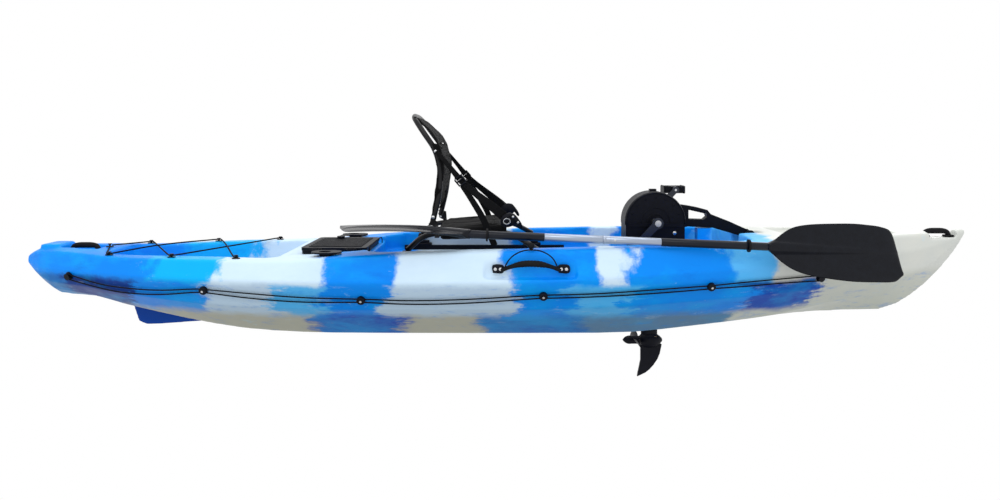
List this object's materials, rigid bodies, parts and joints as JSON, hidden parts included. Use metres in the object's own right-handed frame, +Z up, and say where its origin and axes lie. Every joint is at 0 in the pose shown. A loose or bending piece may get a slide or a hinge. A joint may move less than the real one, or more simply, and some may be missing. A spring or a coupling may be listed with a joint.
{
  "type": "pedal fishing kayak",
  "caption": "Sit-on-top pedal-drive kayak with a tilting propeller drive, folding framed seat, tankwell, deck hatch and a two-piece paddle on its gunwale",
  "frame": {"origin": "on the keel line amidships, at the lowest point of the hull's bottom", "axes": "+X to the bow, +Y to port, +Z up"},
  "size_m": [3.967, 0.9145, 1.117],
  "materials": {
    "hull_plastic": "rotomoulded polyethylene, marbled azure, deep blue and pale blue-white, satin",
    "black_plastic": "glass-filled black nylon, fine grain, satin",
    "black_rubber": "soft black rubber, matt",
    "stainless": "stainless steel, bright",
    "tube_black": "black anodised tube, satin",
    "paddle_alloy": "satin aluminium",
    "paddle_grip": "black satin shaft",
    "blade_plastic": "black moulded blade, satin",
    "seat_fabric": "charcoal open mesh and padded nylon",
    "webbing": "black polyester webbing",
    "cord": "black braided cord",
    "gear_bronze": "machined bronze gear"
  },
  "bodies": {
    "hull": {"hull": "hull_plastic", "hatch_rim": "black_plastic", "hatch_hinge_pins": "stainless", "hatch_band": "cord", "rod_holders": "black_plastic", "seat_rails": "black_plastic", "end_handles": "black_plastic", "side_handle_grips": "black_rubber", "side_handle_brackets": "black_plastic", "side_handle_screws": "stainless", "tankwell_hooks": "black_plastic", "tankwell_bungees": "cord", "trolley_guides": "black_plastic", "trolley_rivets": "stainless", "trolley_pulleys": "black_plastic", "trolley_cords": "cord", "paddle_park_ball": "black_rubber", "paddle_park_loop": "cord", "drive_pivot_bracket": "tube_black", "drive_rest": "hull_plastic"},
    "hatch": {"hatch_lid": "black_plastic"},
    "latch": {"hatch_latch": "black_plastic"},
    "sheave_stern": {"trolley_sheave_stern": "black_plastic"},
    "sheave_bow": {"trolley_sheave_bow": "black_plastic"},
    "drive": {"drive_case_upper": "black_plastic", "drive_case_lower": "black_plastic", "drive_leg": "black_plastic", "gearcase": "black_plastic", "drive_arm": "black_plastic", "drive_screws": "stainless", "spindle_bearings": "stainless"},
    "crank": {"crank_spindle": "stainless", "pedal_axles": "stainless", "crank_arms": "tube_black", "crown_gear": "gear_bronze"},
    "port_pedal": {"pedal_port": "black_plastic"},
    "starboard_pedal": {"pedal_starboard": "black_plastic"},
    "drive_train": {"drive_shaft": "stainless", "drive_pinion": "gear_bronze", "lower_crown_gear": "gear_bronze"},
    "prop": {"propeller": "black_plastic", "prop_nose_cone": "black_plastic", "prop_shaft": "stainless", "prop_pinion": "gear_bronze"},
    "seat": {"seat_frame": "tube_black", "seat_feet": "black_plastic", "seat_hinge_plates": "tube_black", "seat_pad": "seat_fabric", "recline_straps": "webbing", "strap_buckles": "black_plastic"},
    "backrest": {"backrest_frame": "tube_black", "backrest_pivot_bolts": "stainless", "backrest_pad": "seat_fabric", "headrest": "seat_fabric"},
    "paddle": {"paddle_blade_bow": "blade_plastic", "paddle_shaft_bow": "paddle_grip", "paddle_ferrule": "paddle_alloy", "paddle_drip_rings": "black_rubber"},
    "paddle_stern": {"paddle_blade_stern": "blade_plastic", "paddle_shaft_stern": "paddle_alloy"}
  },
  "joints": [
    {"name": "drive_tilt", "type": "hinge", "parent": "hull", "child": "drive", "pos_m": [1.06, 0, 0.385], "axis": [0, 1, 0], "range_deg": [0, 60]},
    {"name": "crank_spin", "type": "hinge", "parent": "drive", "child": "crank", "pos_m": [0.655, 0, 0.442], "axis": [0, 1, 0], "continuous": true},
    {"name": "port_pedal_spin", "type": "hinge", "parent": "crank", "child": "port_pedal", "pos_m": [0.77656, 0.16, 0.56788], "axis": [0, 1, 0], "continuous": true},
    {"name": "starboard_pedal_spin", "type": "hinge", "parent": "crank", "child": "starboard_pedal", "pos_m": [0.53343, -0.16, 0.31612], "axis": [0, 1, 0], "continuous": true},
    {"name": "shaft_spin", "type": "hinge", "parent": "drive", "child": "drive_train", "pos_m": [0.655, 0, 0.1], "axis": [0, 0, 1], "continuous": true},
    {"name": "prop_spin", "type": "hinge", "parent": "drive", "child": "prop", "pos_m": [0.6, 0, -0.065], "axis": [1, 0, 0], "continuous": true},
    {"name": "seat_slide", "type": "slide", "parent": "hull", "child": "seat", "axis": [1, 0, 0], "range_m": [-0.045, 0.1]},
    {"name": "backrest_fold", "type": "hinge", "parent": "seat", "child": "backrest", "pos_m": [-0.268, 0, 0.44], "axis": [0, 1, 0], "range_deg": [-10, 70]},
    {"name": "hatch_open", "type": "hinge", "parent": "hull", "child": "hatch", "pos_m": [-0.67, -0.186, 0.344], "axis": [1, 0, 0], "range_deg": [0, 100]},
    {"name": "latch_turn", "type": "hinge", "parent": "hatch", "child": "latch", "pos_m": [-0.7, 0.12, 0.345], "axis": [0, 0, 1], "range_deg": [0, 90]},
    {"name": "stern_sheave_spin", "type": "hinge", "parent": "hull", "child": "sheave_stern", "pos_m": [-1.75001, -0.1642, 0.23258], "axis": [-0.3344, -0.9032, -0.2691], "continuous": true},
    {"name": "bow_sheave_spin", "type": "hinge", "parent": "hull", "child": "sheave_bow", "pos_m": [1.27064, -0.24772, 0.24016], "axis": [0.293, -0.9027, -0.3151], "continuous": true},
    {"name": "paddle_lift", "type": "slide", "parent": "hull", "child": "paddle", "axis": [0, 0, 1], "range_m": [0, 0.45]},
    {"name": "paddle_feather", "type": "hinge", "parent": "paddle", "child": "paddle_stern", "pos_m": [0.62, -0.387, 0.3995], "axis": [0.9991, -0.012, -0.04], "range_deg": [0, 60]}
  ],
  "couplings": [
    {"joint": "shaft_spin", "follows": "crank_spin", "ratio": 3.6667},
    {"joint": "prop_spin", "follows": "crank_spin", "ratio": 9.1667},
    {"joint": "bow_sheave_spin", "follows": "stern_sheave_spin", "ratio": 1}
  ]
}
